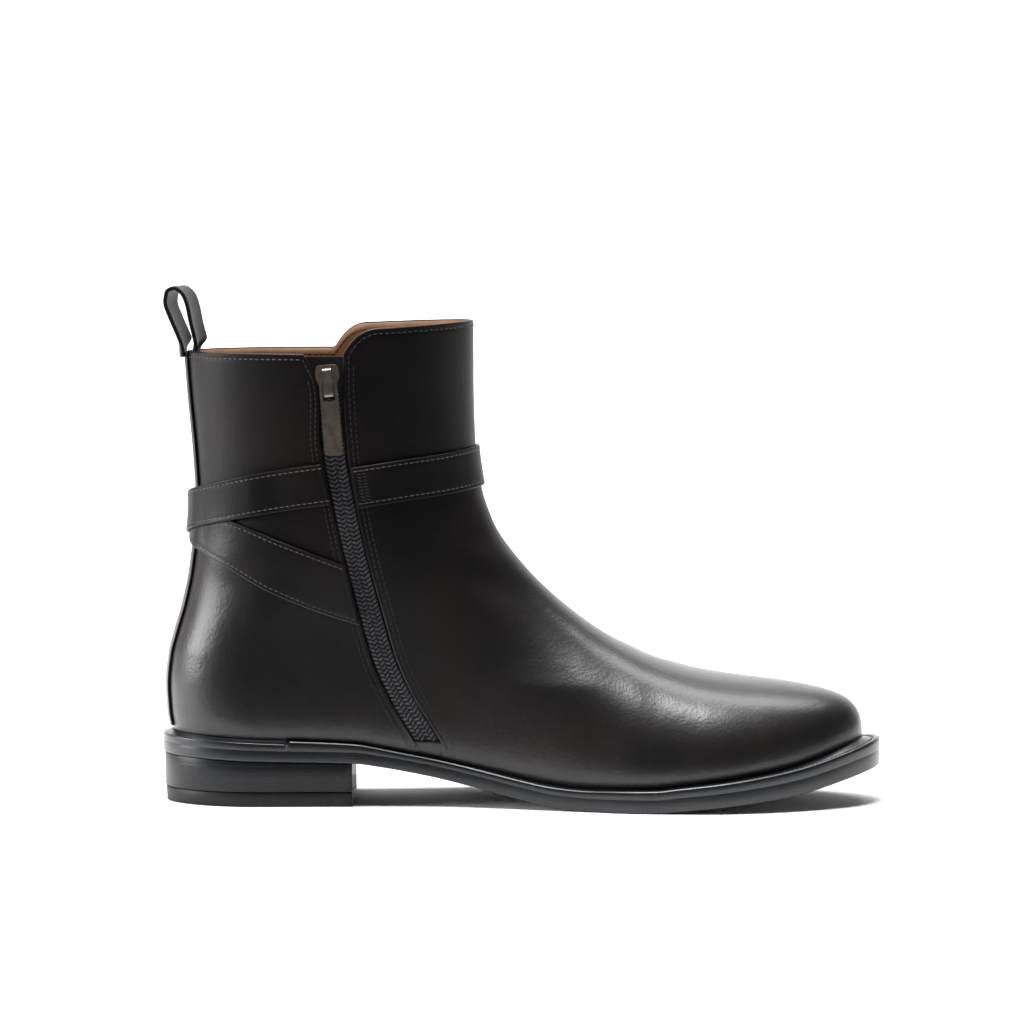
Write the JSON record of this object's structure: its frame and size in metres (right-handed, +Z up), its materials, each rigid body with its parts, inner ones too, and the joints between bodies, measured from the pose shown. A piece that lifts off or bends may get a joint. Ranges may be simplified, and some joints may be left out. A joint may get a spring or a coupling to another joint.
{
  "type": "jodhpur boot",
  "caption": "Ankle-high jodhpur boot for the left foot: smooth leather upper, inside zip, crossed ankle strap with a buckle, back pull loop, welted sole and stacked heel.",
  "frame": {"origin": "on the floor under the middle of the heel, on the top lift's flat underside", "axes": "+X from the heel to the toe, +Y to the outer side of the leg, +Z up"},
  "size_m": [0.3, 0.105, 0.215],
  "materials": {
    "upper_leather": "polished",
    "sole_leather": "waxed",
    "heel_rubber": "matte",
    "lining_leather": "matte",
    "zip_textile": "matte",
    "gunmetal": "satin"
  },
  "bodies": {
    "boot": {"upper": "upper_leather", "outsole": "sole_leather", "welt": "sole_leather", "heel_rand": "sole_leather", "insole": "lining_leather", "heel_stack": "sole_leather", "top_lift": "heel_rubber", "back_strip": "upper_leather", "strap_long": "upper_leather", "strap_billet": "upper_leather", "strap_chape": "upper_leather", "strap_keeper": "upper_leather", "buckle_frame": "gunmetal", "buckle_prong": "gunmetal", "zip_tape": "zip_textile", "zip_chain": "zip_textile", "zip_slider": "gunmetal", "pull_loop": "upper_leather"},
    "pull_tab": {"zip_pull": "gunmetal"}
  },
  "joints": [
    {"name": "pull_tab_hinge", "type": "hinge", "parent": "boot", "child": "pull_tab", "pos_m": [0.03067, -0.04287, 0.17707], "axis": [-0.9965, 0.0024, -0.0837], "range_deg": [0, 150]}
  ]
}
